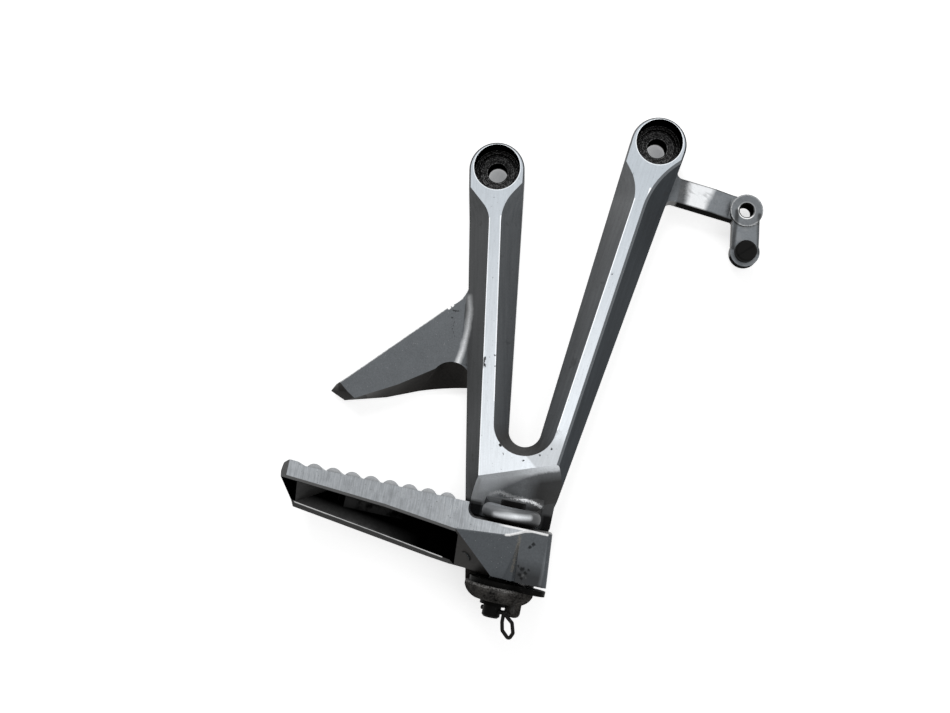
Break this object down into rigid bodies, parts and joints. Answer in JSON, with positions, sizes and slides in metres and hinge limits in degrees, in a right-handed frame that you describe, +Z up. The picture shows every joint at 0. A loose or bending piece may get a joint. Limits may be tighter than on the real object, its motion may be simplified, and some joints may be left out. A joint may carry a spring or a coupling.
{
  "type": "motorcycle rear footrest",
  "caption": "Cast hanger with a V of two arms, bolt bosses, spur and strap, and a ribbed footpeg that folds back on a clevis pin with a ball detent.",
  "frame": {"origin": "axis of the rear bolt bore, on the face that bolts to the motorcycle's frame", "axes": "+X forwards along the motorcycle, +Y inboard into the frame, +Z up along the hinge pin"},
  "size_m": [0.1891, 0.0432, 0.2433],
  "materials": {
    "hanger_casting": "cast aluminium with brushed flat faces",
    "peg_casting": "cast aluminium, brushed side, grimy inside",
    "pin_steel": "dark greasy steel",
    "washer_steel": "dark grimy steel",
    "cotter_steel": "dark steel wire",
    "plate_steel": "dark grimy steel sheet",
    "ball_steel": "polished bearing ball",
    "spring_steel": "drawn spring wire",
    "buffer_rubber": "black rubber"
  },
  "bodies": {
    "hanger": {"bracket": "hanger_casting", "hinge_pin": "pin_steel", "pin_washer": "washer_steel", "split_pin": "cotter_steel", "detent_plate": "plate_steel", "rubber_buffer": "buffer_rubber"},
    "peg": {"footpeg": "peg_casting", "detent_spring": "spring_steel"},
    "ball": {"detent_ball": "ball_steel"}
  },
  "joints": [
    {"name": "peg_fold", "type": "hinge", "parent": "hanger", "child": "peg", "pos_m": [0.039, -0.028, -0.1688], "axis": [0, 0, 1], "range_deg": [0, 90]},
    {"name": "detent_ball_travel", "type": "slide", "parent": "peg", "child": "ball", "axis": [0, 0, -1], "range_m": [0, 0.0011], "stiffness_N_per_m": 1000, "springref_m": 0.003, "deforming": ["detent_spring"]}
  ]
}
